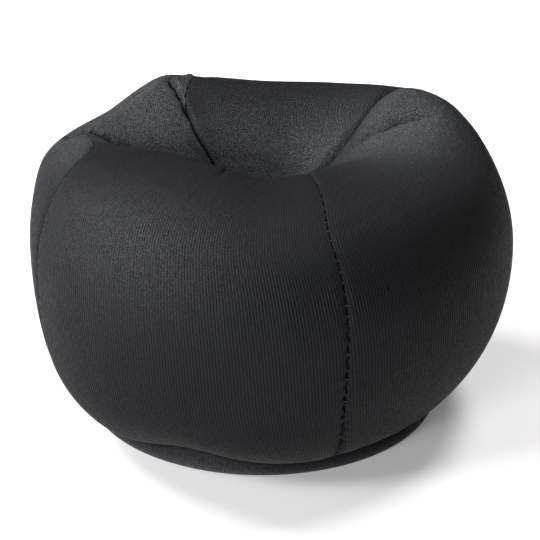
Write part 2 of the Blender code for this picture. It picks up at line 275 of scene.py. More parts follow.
def plain_cover(azimuth, share):
    """Points: azimuth plus twist gives the angle, the meridian there the radius and the height, and
    the body and the pit are each shifted a little sideways."""
    angle = azimuth + twist(azimuth, share)
    radius, height = meridian(angle, share)
    in_pit = smooth((share - 1) / 2)
    x = body_shift * smooth(share) * (1 - in_pit) + radius * np.sin(np.radians(angle))
    y = -pit_shift * in_pit - radius * np.cos(np.radians(angle))
    return np.stack([x, y, height], axis=-1)


def cover_axes(azimuth, share):
    """Length per degree, and the directions round, along the meridian and outwards, by differences."""
    turn, climb = 0.2, 0.003
    below, above = np.maximum(share - climb, -1), np.minimum(share + climb, 3)
    round_step = (plain_cover(azimuth + turn, share) - plain_cover(azimuth - turn, share)) / (2 * turn)
    rise = unit(plain_cover(azimuth, above) - plain_cover(azimuth, below))
    square = round_step - (round_step * rise).sum(axis=-1, keepdims=True) * rise
    length = np.linalg.norm(square, axis=-1)
    return length, square / length[..., None], rise, unit(np.cross(square, rise))


sample = plain_cover(np.array([0.0, 90.0, 180.0, 270.0]), np.full(4, 2.0))
print("ridge at the front, right, back and left, mm:", (1000 * sample).round(1).tolist())

# %% [markdown]
# ## Folds
#
# Pulling the top down gathers the cloth into folds. The two back seams lie at the bottom of deep
# folds whose outer side laps over, like the edge of one pillow on another. A few soft wrinkles
# fan out from the pit. A fold here is a line across the cover with a depth and a lap at each of
# its stations, so it follows the real one closely, which a simulated fold would not.

# %% Lines of the folds and the swells between them
# A fold: its width, the side that laps over (1: towards greater azimuth), the seam that it follows,
# or None, then stations of (share, angle round the stand, depth in mm, lap in mm). On a seam the
# angle is how far the fold lies from it. Under the lap a fold is narrower, by under_share.
under_share = 0.4
folds = {
    "back left": (0.0065, 1, 197.7, ((1.90, 19.0, 0.0, 0.0), (1.97, 18.0, 1.0, 0.6), (2.01, 16.0, 2.6, 1.6),
                                     (2.06, 10.5, 3.2, 2.0), (2.11, 5.5, 3.7, 2.3), (2.20, 1.2, 4.2, 2.6),
                                     (2.50, 0.0, 3.8, 2.2), (2.75, 0.0, 1.5, 0.6), (2.95, 0.0, 0.0, 0.0))),
    "back right": (0.0065, -1, 107.7, ((1.64, 8.0, 0.0, 0.0), (1.80, 8.0, 0.9, 0.4), (1.93, 7.0, 1.8, 1.0),
                                       (2.05, 3.0, 3.0, 1.8), (2.20, 0.0, 4.0, 2.8), (2.50, 0.0, 3.4, 2.2),
                                       (2.75, 0.0, 1.4, 0.6), (2.95, 0.0, 0.0, 0.0))),
    "left shoulder": (0.0050, 1, None, ((1.60, 256.0, 0.0, 0.0), (1.74, 257.0, 1.6, 0.8),
                                        (1.86, 257.5, 3.0, 1.5), (1.98, 256.7, 3.6, 1.9),
                                        (2.06, 256.7, 3.4, 1.6), (2.13, 257.0, 2.0, 0.7),
                                        (2.24, 256.0, 0.0, 0.0))),
    "right upper": (0.0065, 1, None, ((1.86, 102.0, 0.0, 0.0), (1.96, 103.0, 0.8, 0.3), (2.04, 104.0, 1.8, 0.6),
                                      (2.14, 106.0, 2.8, 1.0), (2.26, 110.0, 2.5, 0.9), (2.36, 112.0, 1.2, 0.4),
                                      (2.54, 114.0, 0.0, 0.0))),
    "front right": (0.0040, -1, 17.7, ((1.88, 0.0, 0.0, 0.0), (1.98, 0.0, 0.3, 0.2), (2.08, 0.0, 1.1, 0.6),
                                       (2.30, 0.0, 1.7, 1.0), (2.60, 0.0, 0.0, 0.0))),
    "front notch": (0.0030, 1, None, ((1.90, 331.0, 0.0, 0.0), (2.02, 331.0, 0.6, 0.2), (2.25, 331.0, 0.9, 0.3),
                                      (2.60, 331.0, 0.0, 0.0))),
    "right lower": (0.0035, 1, None, ((1.92, 72.0, 0.0, 0.0), (2.00, 70.0, 0.5, 0.1), (2.08, 68.0, 0.6, 0.2),
                                      (2.25, 72.0, 0.0, 0.0))),
}
# A swell: angle round the stand, share, spread in degrees, spread in shares, height in mm
swells = (
    (117.0, 2.06, 10.0, 0.16, 1.5),
    (92.0, 2.20, 9.0, 0.14, 0.9),
    (238.0, 2.25, 10.0, 0.20, 0.8),
    (214.5, 1.97, 1.3, 0.05, 0.8),
    (267.0, 2.08, 9.0, 0.13, 1.3),
)
# Painted sheen, gore by gore: the colour is lightened to stand in for the sheen and highlights of the
# lights, the front gore's spot being the highlight of the front lights. The same numbers, the last one how
# strong (1 is full where it is held below it)
painted_sheen_spots = {
    "left_gore": ((238.0, 2.15, 30.0, 0.40, 0.95), (240.0, 1.98, 24.0, 0.14, 0.6),
                  (270.0, 1.70, 18.0, 0.25, 0.35)),
    "right_gore": ((104.0, 2.05, 28.0, 0.34, 0.9), (74.0, 1.90, 24.0, 0.24, 0.40)),
    "back_gore": ((180.0, 2.45, 60.0, 0.22, 1.5), (180.0, 2.12, 70.0, 0.16, 0.3)),
    "front_gore": ((322.0, 1.45, 30.0, 0.32, 0.42),),
}
print("folds:", ", ".join(folds))


# %% The folded cover
def stepped(share, at, values):
    """Read stations along a line: an S-shaped step leads from each value to the next."""
    here = np.clip(np.searchsorted(at, share, side="right") - 1, 0, len(at) - 2)
    step = smooth((share - at[here]) / (at[here + 1] - at[here]))
    return values[here] + (values[here + 1] - values[here]) * step


def fold_push(azimuth, share, length, sideways, outward):
    """Displacement of all folds. A point's distance from the fold's line, over the width, is t. It
    sinks by depth * (1 - t)^2, and on the lapping side it also slides across the line by
    lap * 6.75 * t * (1 - t)^2, which is greatest a third of the way out."""
    push = np.zeros(azimuth.shape + (3,))
    for width, side, seam, stations in folds.values():
        at, line, depth, lap = np.array(stations).T
        line = seam + line if seam else np.array([azimuth_there(*pair) for pair in zip(line, at)])
        away = (np.mod(azimuth - stepped(share, at, line) + 180, 360) - 180) * length
        t = np.clip(np.abs(away) / np.where(away * side > 0, width, under_share * width), 0, 1)
        depth, lap = stepped(share, at, depth) / 1000, stepped(share, at, lap) / 1000
        slide = np.where(away * side > 0, 6.75 * t * (1 - t) ** 2, 0)
        push -= (depth * (1 - t) ** 2 - 0.3 * lap * slide)[..., None] * outward
        push -= (side * lap * slide)[..., None] * sideways
    return push


def sum_of_spots(azimuth, share, spots):
    """Each spot adds its last number times e to the minus squared distances over its spreads."""
    total = np.zeros(azimuth.shape)
    for middle, at, spread, climb, most in spots:
        turn = np.mod(azimuth + twist(azimuth, share) - middle + 180, 360) - 180
        total += most * np.exp(-(turn / spread) ** 2 - ((share - at) / climb) ** 2)
    return total


def seam_dip(azimuth, share, length):
    """The cloth dips to each seam by dip_depth * (1 - t)^2, t the distance over dip_width, and fades
    at the ends. The stitches pucker it: the depth swings with a cosine along the seam,
    and the two sides take turns. Up to the widest line, where the pull is greatest, it swings most."""
    depth = np.zeros(azimuth.shape)
    for seam, end in zip(seam_azimuths, seam_ends):
        body = (smooth(share / 0.2) * (1 - 0.75 * smooth((share - 0.9) / 0.8))
                * (1 - smooth((share - end) / 0.4)))
        away = (np.mod(azimuth - seam + 180, 360) - 180) * length
        swing = 0.9 - 0.7 * smooth((share - 0.6) / 1.0)
        pucker = 1 + swing * np.cos(2 * math.pi * (share * puckers_per_share + (away > 0) / 2))
        depth += dip_depth * body * pucker * np.clip(1 - np.abs(away) / dip_width, 0, 1) ** 2
    return depth


def cover(azimuth, share):
    """Points and outward directions of the cover with its folds, swells and seam dips."""
    azimuth, share = np.broadcast_arrays(azimuth, share)
    length, sideways, _, outward = cover_axes(azimuth, share)
    lift = sum_of_spots(azimuth, share, swells) / 1000 - seam_dip(azimuth, share, length)
    points = plain_cover(azimuth, share) + lift[..., None] * outward
    return points + fold_push(azimuth, share, length, sideways, outward), outward


print("front ridge, mm:", (1000 * cover(np.array([0.0]), np.array([2.0]))[0]).round(1).tolist())

# %% [markdown]
# ## The knit, rib by rib
#
# A rib knit stretches sideways like a concertina. Filled tight, its ribs run up the bag like the
# lines of longitude on a globe, wide apart at the widest line and close at the top and the base.
# A texture could draw them, but at this scale the ribs catch the light one by one, so they are
# modelled: the grid of each gore has four columns of points to a rib. The ribs follow one of the
# gore's seams, as on the photograph. Towards the other seam the knit isn't gathered enough, and
# ribs are cut off there. A column that runs out past a seam is gathered on it.

# %% The grid of one gore
columns_per_rib = 4
rows_on_gore = 190
inner_every = 8
grain_seams = (0, 1, 0, 1)          # of right, back, left and front gore: 0 its first seam, 1 its last
gather_shares = (0.2, 0.3, 0.3, 0.8)  # 0 keeps the pitch on a narrower row, 1 narrows it with the row
rib_lean = 5.0                      # degrees that a rib falls behind its seam per share, up to the shoulder
seam_gap_least, seam_gap_more = 0.00006, 0.00022    # half the gap of a seam, and what the pull adds
ribs_on_gore = round(2 * math.pi * body_radius / 4 / rib_pitch)


def gore_rows(middle):
    """Shares of the rows: equal steps of length along the middle meridian, closer at the ridge."""
    share = np.linspace(0, 3, 601)
    line = plain_cover(np.full_like(share, middle), share)
    closer = 1 + 0.5 * np.exp(-((share[1:] - 2.05) / 0.2) ** 2)
    step = np.linalg.norm(np.diff(line, axis=0), axis=1) * closer
    run = np.concatenate([[0], np.cumsum(step)])
    rows = np.interp(np.linspace(0, run[-1], rows_on_gore), run, share)
    return np.concatenate([[-1, -0.5, -0.2], rows])


def ribs_per_degree(gore, rows):
    """Ribs to a degree of each row, and the pitch. Up to the widest line a row holds all ribs. Above,
    it holds them times (its width / the widest)^(1 - gather), and never more than fit at rest."""
    turn = np.linspace(seam_azimuths[gore], seam_azimuths[gore] + 90, 61)
    line = plain_cover(turn[None, :], rows[:, None])
    width = np.linalg.norm(np.diff(line, axis=1), axis=2).sum(axis=1)
    narrowed = np.where(rows < 1, 1, width / np.interp(1, rows, width))
    wanted = ribs_on_gore * np.minimum(narrowed, 1) ** (1 - gather_shares[gore])
    count = (wanted ** -6 + (width / rest_pitch) ** -6) ** (-1 / 6)
    return count / 90, width / count


def seam_opening(climb, phase):
    """Half the gap at a seam: the stitches pull it shut and it opens a little between them."""
    pull = 0.5 - 0.5 * np.cos(2 * math.pi * (climb / stitch_length + phase))
    return seam_gap_least + seam_gap_more * pull ** 2


def rib_profile(ribs):
    """Rounded cords with narrow grooves: the absolute cosine of half the phase, to the power 0.7."""
    return np.abs(np.cos(math.pi * ribs)) ** 0.7


print(f"a gore is cut {2000 * math.pi * body_radius / 4:.0f} mm wide at its widest line, {ribs_on_gore} ribs")


# %% The surface of one gore
def gore_surface(gore, ribs, inset, sunk, ribbed):
    """Points of one layer on the grid of rows and columns, whose place is counted in ribs from the
    gore's grain seam.

    The azimuth is that of the grain seam, plus ribs over ribs per degree, less the lean. It is held
    between the seams, less the inset, and the point lies on the folded cover there, lifted by the
    ribs or sunk inwards.
    """
    first_seam = seam_azimuths[gore]
    rows = gore_rows(first_seam + 45)
    density, pitch = ribs_per_degree(gore, rows)
    mid_line = plain_cover(np.full_like(rows, first_seam + 45), rows)
    climb = np.concatenate([[0], np.cumsum(np.linalg.norm(np.diff(mid_line, axis=0), axis=1))])
    length = density * pitch
    first = first_seam + (seam_opening(climb, 0.0) + inset) / length
    last = first_seam + 90 - (seam_opening(climb, 0.5) + inset) / length
    tip = first > last
    first[tip], last[tip] = first_seam + 44.9, first_seam + 45.1
    lean = rib_lean * (np.clip(rows, 0, 1.5) - 0.75)
    free = first_seam + 90 * grain_seams[gore] + ribs[None, :] / density[:, None] - lean[:, None]
    azimuth = np.clip(free, first[:, None], last[:, None])
    share = np.broadcast_to(rows[:, None], azimuth.shape)
    points, outward = cover(azimuth, share)
    if ribbed:
        edge = np.minimum(azimuth - first_seam, first_seam + 90 - azimuth) * length[:, None]
        shown = smooth(edge / 0.0012) * smooth((share - 0.02) / 0.06) * (pitch / rib_pitch)[:, None]
        points = points + (rib_height * rib_profile(ribs) * (0.3 + 0.7 * shown))[..., None] * outward
    points = points - sunk * outward
    inside = (free > first[:, None]) & (free < last[:, None])
    # The third number of the weave is the painted sheen, which lightens the colour.
    weave = np.stack([np.broadcast_to(ribs[None, :], free.shape),
                      np.broadcast_to(climb[:, None] / course_pitch, free.shape),
                      np.minimum(sum_of_spots(azimuth, share, painted_sheen_spots[gore_names[gore]]), 1.6)], axis=-1)
    return points, weave, inside, share


def gathered(inside):
    """Index of the column that each point is gathered on: itself between the seams, else the
    nearest column past the seam, which lies on it."""
    count = inside.shape[1]
    column = np.broadcast_to(np.arange(count), inside.shape)
    first = np.argmax(inside, axis=1) - 1
    last = count - np.argmax(inside[:, ::-1], axis=1)
    empty = ~inside.any(axis=1)
    first[empty], last[empty] = count // 2 - 1, count // 2
    return np.clip(column, np.maximum(first, 0)[:, None], np.minimum(last, count - 1)[:, None])


spare_ribs = 8
column_count = (ribs_on_gore + 2 * spare_ribs) * columns_per_rib // inner_every * inner_every + 1
print(column_count, "columns outside,", column_count // inner_every + 1, "inside")

# %% [markdown]
# ## From arrays to a mesh
#
# The layers of a gore are joined in a ring on every row: the ribbed outside, the allowance turned
# in at the seam, the inside, and the other allowance. Neighbouring rings give quads. A quad whose
# points were gathered on the seam loses a corner or vanishes, so the mesh has no slivers.


# %% Meshes from grids
def mesh_object(name, points, faces, weave=None):
    """A smooth-shaded mesh object from points and faces of three or more corners. Points that no
    face uses are left out. The weave's ribs and courses are stored as UVs, its painted sheen as an
    attribute."""
    used = np.unique(np.concatenate([np.asarray(face).ravel() for face in faces]))
    place = np.full(len(points), -1)
    place[used] = np.arange(len(used))
    corners = [tuple(place[list(face)]) for face in faces]
    mesh = bpy.data.meshes.new(name)
    mesh.from_pydata(points[used].tolist(), [], corners)
    if weave is not None:
        layer = mesh.uv_layers.new(name="weave")
        index = np.empty(len(mesh.loops), np.int32)
        mesh.loops.foreach_get("vertex_index", index)
        layer.data.foreach_set("uv", weave[used][index, :2].astype(np.float32).ravel())
        nap = mesh.attributes.new("nap", "FLOAT", "POINT")
        nap.data.foreach_set("value", weave[used, 2].astype(np.float32))
    mesh.shade_smooth()
    mesh.update()
    made = bpy.data.objects.new(name, mesh)
    bpy.context.scene.collection.objects.link(made)
    return made


def ring_quads(index):
    """Faces between neighbouring closed rows of an index grid, with repeated corners dropped."""
    following = np.roll(index, -1, axis=1)
    quads = np.stack([index[:-1], following[:-1], following[1:], index[1:]], axis=-1).reshape(-1, 4)
    return drop_repeats(quads)


def drop_repeats(polygons):
    """Polygons with each corner that equals the one before it left out, if three are left."""
    again = polygons == np.roll(polygons, 1, axis=1)
    whole = polygons[~again.any(axis=1)].tolist()
    for polygon, repeat in zip(polygons[again.any(axis=1)].tolist(), again[again.any(axis=1)].tolist()):
        kept = [corner for corner, gone in zip(polygon, repeat) if not gone]
        if len(set(kept)) >= 3 and len(set(kept)) == len(kept):
            whole.append(kept)
    return whole


print("mesh helpers ready")

# %% [markdown]
# ## The four gores
#
# Each gore is one closed piece of cloth with a thickness: the ribbed face, a plain back, and on
# both long edges a seam allowance that is turned in and stands on its neighbour's. At the bottom
# its edge is turned in over the board, and its top point ends in the pit.


# %% Build the gores
def end_faces(outer_row, inner_row, turned):
    """Faces that close one end of a gore: each inner cell with the outer columns that lie over it."""
    faces = []
    for cell in range(len(inner_row) - 1):
        over = outer_row[cell * inner_every:(cell + 1) * inner_every + 1].tolist()
        faces.append(over + [int(inner_row[cell + 1]), int(inner_row[cell])])
    return tidy_polygons(faces, turned)


def tidy_polygons(faces, turned):
    """Faces without repeated corners, turned over where they would look inwards."""
    tidy = []
    for face in faces:
        kept = [corner for number, corner in enumerate(face) if corner != face[number - 1]]
        if len(kept) >= 3 and len(set(kept)) == len(kept):
            tidy.append(kept[::-1] if turned else kept)
    return tidy


def allowance_points(gore, outer, inner, share, side):
    """The free edge of a seam allowance: points a hair beside the seam moved inwards, square to the
    cover there, by an allowance that narrows at the base and down in the pit. The free edges of two
    neighbours touch, so that the beads behind them stay hidden."""
    seam = np.full(len(share), float(seam_azimuths[gore] + (90 if side else 0)))
    sideways, _, outward = cover_axes(seam, share)[1:]
    hair = (-0.00003 if side else 0.00003) * sideways
    wide = seam_allowance * smooth((share + 0.1) / 0.3) * (1 - smooth((share - 2.3) / 0.6)) + 0.0012
    return (cover(seam, share)[0] + hair - wide[:, None] * outward,
            inner[:, side] - (wide - cloth_thickness)[:, None] * outward)


def make_gore(gore):
    """One gore: the rings of its rows joined, and both ends closed."""
    ribs = np.arange(column_count) / columns_per_rib - spare_ribs - grain_seams[gore] * ribs_on_gore
    outer, weave, inside, share = gore_surface(gore, ribs, 0, 0, True)
    inner, inner_weave, inner_inside, _ = gore_surface(gore, ribs[::inner_every], cloth_thickness,
                                                       cloth_thickness, False)
    last_out, last_in = allowance_points(gore, outer, inner, share[:, 0], -1)
    first_out, first_in = allowance_points(gore, outer, inner, share[:, 0], 0)
    ring = np.concatenate([outer, last_out[:, None], last_in[:, None], inner[:, ::-1],
                           first_in[:, None], first_out[:, None]], axis=1)
    rows, count = ring.shape[:2]
    wide, thin = outer.shape[1], inner.shape[1]
    base = np.arange(rows)[:, None] * count
    outer_index = base + gathered(inside)
    inner_index = base + wide + 2 + (thin - 1 - gathered(inner_inside))
    index = np.concatenate([outer_index, base + [[wide, wide + 1]], inner_index[:, ::-1],
                            base + [[count - 2, count - 1]]], axis=1)
    faces = ring_quads(index)
    for row, turned in ((0, True), (rows - 1, False)):
        faces += end_faces(outer_index[row], inner_index[row], turned)
        last_end = [outer_index[row, -1], index[row, wide], index[row, wide + 1], inner_index[row, -1]]
        first_end = [outer_index[row, 0], inner_index[row, 0], index[row, -2], index[row, -1]]
        faces += tidy_polygons([last_end, first_end], turned)
    uv = np.concatenate([weave, np.repeat(weave[:, -1:], 2, axis=1), inner_weave[:, ::-1],
                         np.repeat(weave[:, :1], 2, axis=1)], axis=1)
    return mesh_object("knit_" + gore_names[gore], ring.reshape(-1, 3), faces, uv.reshape(-1, 3))


gores = [make_gore(gore) for gore in range(4)]
for piece in gores:
    print(piece.name, sum(len(face.vertices) - 2 for face in piece.data.polygons), "triangles")

# %% [markdown]
# ## The base
#
# The round base panel is the same knit, pulled over the edge of a stiff board and sewn to the
# bag. Its ribs run straight across the underside, so round the rim they pass slantwise. It is a
# ring of cloth with a rounded rim: its profile is carried once round the stand.

# %% Base panel
rim_ribs = round(2 * math.pi * base_radius / (0.75 * rib_pitch))
rim_columns = 3 * rim_ribs
rim_slant = 1.3          # ribs drift this far round for each length up the rim


def rim_profile(radius, middle_radius, middle_height, steps):
    """Half a circle from its lowest to its highest point, as radii and heights."""
    turn = np.linspace(-math.pi / 2, math.pi / 2, steps)
    return middle_radius + radius * np.cos(turn), middle_height + radius * np.sin(turn)


def carried_round(radius, height, lift, weave_run):
    """A profile turned about the middle: each point's radius and height carried round, the lift
    added square to the profile. Its top follows the hitches of the base seam, the rim by 0.8 of
    them, so a dark crevice opens there. Painted sheen lightens the colour a little all over, and
    more low on the rim, as a painted reflection of the floor."""
    angle = np.linspace(0, 2 * math.pi, rim_columns, endpoint=False)
    along = unit(np.stack([np.gradient(radius), np.gradient(height)], axis=-1))
    out_radius, out_height = along[:, 1], -along[:, 0]
    raised = lift(angle[None, :], weave_run[:, None])
    r = radius[:, None] + raised * out_radius[:, None]
    z = height[:, None] + raised * out_height[:, None]
    follow = 0.8 + 0.2 * smooth((base_seam_radius - radius) / 0.0015)[:, None]
    z = z + follow * seam_lift(np.degrees(angle))[None, :] * smooth(z / rim_top)
    points = np.stack([r * np.sin(angle), -r * np.cos(angle), z], axis=-1)
    rows = len(radius)
    index = np.arange(rows)[:, None] * rim_columns + np.arange(rim_columns)[None, :]
    # Painted sheen: a little everywhere, and low on the rim a painted reflection of the floor.
    nap = 0.15 + 0.9 * np.exp(-((weave_run - 0.0012) / 0.0020) ** 2)
    uv = np.stack(np.broadcast_arrays(angle[None, :] * base_radius / rib_pitch,
                                      weave_run[:, None] / course_pitch, nap[:, None]), axis=-1)
    return points.reshape(-1, 3), index, uv.reshape(-1, 3)


def base_ribs(angle, run):
    """Rib height round the rim; the ribs fade out on the flat underside and over the allowance."""
    phase = angle * rim_ribs / (2 * math.pi) + rim_slant * run * rim_ribs / (2 * math.pi * base_radius)
    shown = smooth((run + 0.004) / 0.003) * (1 - smooth((run - 0.0075) / 0.002))
    return rib_height * shown * rib_profile(phase)


def make_base():
    """Outer profile from the underside's middle over the rim to the allowance, and back inside."""
    roll = rim_top / 2
    middle = base_radius - rib_height - roll
    r_out, z_out = rim_profile(roll, middle, roll, 15)
    allowance_end = base_seam_radius - base_allowance
    flat = np.array([0.0, 0.4, 0.8, 0.95]) * middle
    r_in, z_in = rim_profile(roll - cloth_thickness, middle, roll, 9)
    radius = np.concatenate([flat, r_out, [allowance_end, allowance_end], r_in[::-1], flat[::-1]])
    height = np.concatenate([0 * flat, z_out, [rim_top, rim_top - cloth_thickness], z_in[::-1],
                             0 * flat + cloth_thickness])
    height = np.maximum(height, 0)
    run = np.concatenate([[0], np.cumsum(np.hypot(np.diff(radius), np.diff(height)))])
    run -= run[4]
    outer_rows = len(flat) + len(r_out)
    run_out = np.where(np.arange(len(run)) < outer_rows, run, 1.0)
    points, index, uv = carried_round(radius, height, base_ribs, run_out)
    faces = ring_quads(index[1:-1])
    low, high = len(points), len(points) + 1
    points = np.concatenate([points, [[0, 0, 0], [0, 0, cloth_thickness]]])
    uv = np.concatenate([uv, np.zeros((2, 3))])
    around_low, around_high = index[1], index[-2]
    faces += np.stack([np.roll(around_low, -1), around_low, np.full(rim_columns, low)], axis=-1).tolist()
    faces += np.stack([around_high, np.roll(around_high, -1), np.full(rim_columns, high)], axis=-1).tolist()
    return mesh_object("knit_base_panel", points, faces, uv)


base_piece = make_base()
print("base panel", sum(len(face.vertices) - 2 for face in base_piece.data.polygons), "triangles")

# %% [markdown]
# ## Thread and filling
#
# The gores are joined with a lockstitch. Where the filled bag pulls a seam open between two
# stitches, the thread shows as a short bar across it, like the rungs of a ladder. A bar is a
# small tube along an arc, copied to every stitch by its place and directions on the cover.

# %% Stitches along the seams
bar_steps, bar_sides = 5, 6
stitch_half_length, stitch_sag = 0.0011, 0.0005
tack_half_length, tack_sag, tack_lift, tack_radius = 0.0024, 0.0004, 0.0004, 2.2 * thread_radius
tack_degrees = (20.0, 65.0, 110.0, 155.0)


def bar_tubes(centres, across, outward, half_length, sag, radius):
    """Tubes of one size at many places. A tube's line is an arc across the seam: it runs from minus
    to plus half_length and dips to both ends by sag times the squared share of the way. Its round
    section narrows at the ends with the root of one minus that square."""
    way = np.linspace(-1, 1, bar_steps)
    turn = np.linspace(0, 2 * math.pi, bar_sides, endpoint=False)
    rise = unit(np.cross(outward, across))
    line = (centres[:, None] + (half_length * way)[None, :, None] * across[:, None]
            - (sag * way ** 2)[None, :, None] * outward[:, None])
    size = radius * np.sqrt(1.04 - way ** 2 * 0.96)
    ring = (line[:, :, None] + size[None, :, None, None]
            * (np.cos(turn)[None, None, :, None] * outward[:, None, None]
               + np.sin(turn)[None, None, :, None] * rise[:, None, None]))
    points = ring.reshape(-1, 3)
    one = bar_steps * bar_sides
    grid = np.arange(one).reshape(bar_steps, bar_sides)
    side = np.roll(grid, -1, axis=1)
    quads = np.stack([grid[:-1], grid[1:], side[1:], side[:-1]], axis=-1).reshape(-1, 4)
    caps = [grid[0], grid[-1, ::-1]]
    starts = np.arange(len(centres))[:, None, None] * one
    faces = (starts + quads[None]).reshape(-1, 4).tolist()
    for cap in caps:
        faces += (starts[:, 0] + cap[None]).tolist()
    return points, faces


def stitch_places(seam, end):
    """Points and directions of the stitches of one seam, one stitch length apart along it. Where the
    seam lies in a fold, nothing pulls it open."""
    share = np.linspace(0.03, end + 0.1, 1500)
    line, outward = cover(np.full_like(share, seam), share)
    run = np.concatenate([[0], np.cumsum(np.linalg.norm(np.diff(line, axis=0), axis=1))])
    at = np.interp(np.arange(stitch_length / 2, run[-1], stitch_length), run, share)
    centre, outward = cover(np.full_like(at, seam), at)
    across = cover_axes(np.full_like(at, seam), at)[1]
    return centre, across, outward


def make_thread():
    """All the stitches of the four seams as one piece, and a tack where the tips of the gores meet."""
    sets = [bar_tubes(*stitch_places(seam, end), stitch_half_length, stitch_sag, thread_radius)
            for seam, end in zip(seam_azimuths, seam_ends)]
    tip = plain_cover(np.array([0.0]), np.array([3.0]))[0] * (0, 1, 1)
    turns = np.radians(np.array(tack_degrees))
    across = np.stack([np.cos(turns), np.sin(turns), 0 * turns], axis=-1)
    up = np.tile((0.0, 0.0, 1.0), (4, 1))
    centres = np.tile(tip + (0, 0, tack_lift), (4, 1))
    sets.append(bar_tubes(centres, across, up, tack_half_length, tack_sag, tack_radius))
    points, faces, start = [], [], 0
    for some, corners in sets:
        points.append(some)
        faces += [[corner + start for corner in face] for face in corners]
        start += len(some)
    return mesh_object("seam_thread", np.concatenate(points), faces)


thread = make_thread()
print("thread", len(thread.data.vertices), "points")

# %% [markdown]
# The filling is hidden, but it is there: one lump of beads inside the cloth. It takes the same
# formula for the cover, drawn in by the cloth's thickness and a little air, with a groove along
# each seam. Real beads give way to the allowances, whose edges reach a little into the lump.

# %% The lump of beads
lump_step = 2.5                            # degrees between the columns of the lump
groove_depth = 0.0028                      # how much further in the lump lies along a seam
groove_reach = 5.0                         # degrees on both sides of a seam
foot_share = 0.82                          # width of the lump's foot over its width at the base seam


def make_filling():
    """A closed lump: the folded cover moved inwards on a coarse grid, with a pole at each end. A
    column lies on each seam, where a groove leaves room for the allowances. The lump's foot is
    narrower than the base seam, so that it stays behind the cloth there."""
    from_seam = np.arange(0, 360, lump_step)
    azimuth = seam_azimuths[0] + from_seam
    share = np.concatenate([[0.04, 0.12, 0.25], np.linspace(0.4, 2.9, 56)])
    points, outward = cover(azimuth[None, :], share[:, None])
    length = cover_axes(np.broadcast_to(azimuth[None, :], points.shape[:2]),
                        np.broadcast_to(share[:, None], points.shape[:2]))[0]
    beside = np.abs((from_seam + 45) % 90 - 45)
    groove = (groove_depth * (1 - smooth(beside / groove_reach))[None, :]
              * (smooth(share / 0.3) * (1 - smooth((share - 2.3) / 0.5)))[:, None])
    dip = seam_dip(*np.broadcast_arrays(azimuth[None, :], share[:, None]), length)
    points = points - (cloth_thickness + bead_gap + dip + groove)[..., None] * outward
    floor = board_top + bead_gap
    lift = np.maximum(seam_lift(np.degrees(np.arctan2(points[0, :, 0], -points[0, :, 1]))), 0)
    foot = np.stack([foot_share * points[0, :, 0], foot_share * points[0, :, 1], floor + lift], axis=-1)
    points[..., 2] = np.maximum(points[..., 2], floor)
    under_tips = pit_floor_height - 3 * cloth_thickness
    end = np.stack([points[-1, :, 0], points[-1, :, 1], np.full(len(azimuth), under_tips)], axis=-1)
    ring = np.concatenate([foot[None], points, end[None]])
    rows, count = ring.shape[:2]
    index = np.arange(rows * count).reshape(rows, count)
    low, high = rows * count, rows * count + 1
    tip = end.mean(axis=0)
    faces = ring_quads(index)
    faces += np.stack([np.roll(index[0], -1), index[0], np.full(count, low)], axis=-1).tolist()
    faces += np.stack([index[-1], np.roll(index[-1], -1), np.full(count, high)], axis=-1).tolist()
    return mesh_object("bead_lump", np.concatenate([ring.reshape(-1, 3), [[0, 0, floor], tip]]), faces)


filling = make_filling()
print("filling", len(filling.data.vertices), "points")

# %% [markdown]
# ## Finishes as sums of nodes
#
# A finish is a network of shader nodes, and such a network is arithmetic. The small class below
# lets a node's output be added and multiplied like a number, so a pattern reads as a formula.

# %% Shader maths
class Value:
    """One output socket. Its sums, differences and products add Math nodes to the same network."""

    def __init__(self, finish, socket):
        self.finish, self.socket = finish, socket

    def _math(self, operation, *terms):
        return self.finish.node("ShaderNodeMath", {"operation": operation}, dict(enumerate(terms)))[0]

    def __add__(self, other):
        return self._math("ADD", self, other)

    def __sub__(self, other):
        return self._math("SUBTRACT", self, other)

    def __rsub__(self, other):
        return self._math("SUBTRACT", other, self)

    def __mul__(self, other):
        return self._math("MULTIPLY", self, other)

    def __abs__(self):
        return self._math("ABSOLUTE", self)

    def rounded(self):
        return self._math("ROUND", self)

    def sine(self):
        return self._math("SINE", self)

    def mixed(self, first, second):
        """The first colour where this value is 0, the second where it is 1."""
        return self.finish.node("ShaderNodeMix", {"data_type": "RGBA"},
                                {"Factor_Float": self, "A_Color": first, "B_Color": second})[2]

    __radd__, __rmul__ = __add__, __mul__


